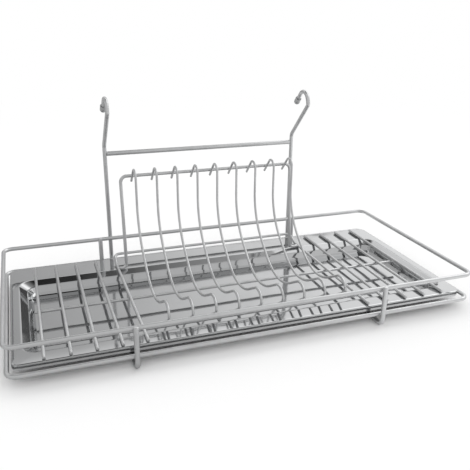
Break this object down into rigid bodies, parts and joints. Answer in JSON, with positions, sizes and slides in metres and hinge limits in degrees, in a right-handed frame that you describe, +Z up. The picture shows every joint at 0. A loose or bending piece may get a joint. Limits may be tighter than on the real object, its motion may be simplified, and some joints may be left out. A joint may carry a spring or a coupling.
{
  "type": "hanging dish drying rack",
  "caption": "Wire dish drying rack that hangs from a wall rail by hooks, with guard rings, a lift-out stamped drip tray and a lift-off insert with plate cradle and cup grids.",
  "frame": {"origin": "middle of the rack's box in the plan, at the height of the undersides of the carriers", "axes": "+X to the right along the wall, +Y towards the wall, +Z up"},
  "size_m": [0.4846, 0.2436, 0.2174],
  "materials": {
    "chromed_wire": "bright plated steel wire, slightly waved",
    "tip_cap": "satin plated cap",
    "polished_sheet": "mirror polished stamped sheet"
  },
  "bodies": {
    "hanging_frame": {"hook_upright_left": "chromed_wire", "hook_upright_right": "chromed_wire", "hook_tip_cap_left": "tip_cap", "hook_tip_cap_right": "tip_cap", "wall_cross_bar": "chromed_wire", "top_ring": "chromed_wire", "lower_ring": "chromed_wire", "carrier_left": "chromed_wire", "carrier_right": "chromed_wire"},
    "tray": {"drip_tray": "polished_sheet"},
    "draining_insert": {"grid_wire_left_1": "chromed_wire", "grid_wire_left_2": "chromed_wire", "grid_wire_left_3": "chromed_wire", "grid_wire_left_4": "chromed_wire", "grid_wire_right_1": "chromed_wire", "grid_wire_right_2": "chromed_wire", "grid_wire_right_3": "chromed_wire", "grid_wire_right_4": "chromed_wire", "plate_base_wire": "chromed_wire", "grid_cross_wire": "chromed_wire", "front_cross_wire": "chromed_wire", "plate_frame": "chromed_wire", "plate_wire_1": "chromed_wire", "plate_wire_2": "chromed_wire", "plate_wire_3": "chromed_wire", "plate_wire_4": "chromed_wire", "plate_wire_5": "chromed_wire", "plate_wire_6": "chromed_wire", "plate_wire_7": "chromed_wire", "plate_wire_8": "chromed_wire", "plate_wire_9": "chromed_wire"}
  },
  "joints": [
    {"name": "tray_lift", "type": "slide", "parent": "hanging_frame", "child": "tray", "axis": [0, 0, 1], "range_m": [0, 0.06]},
    {"name": "insert_lift", "type": "slide", "parent": "tray", "child": "draining_insert", "axis": [0, 0, 1], "range_m": [0, 0.08]}
  ]
}
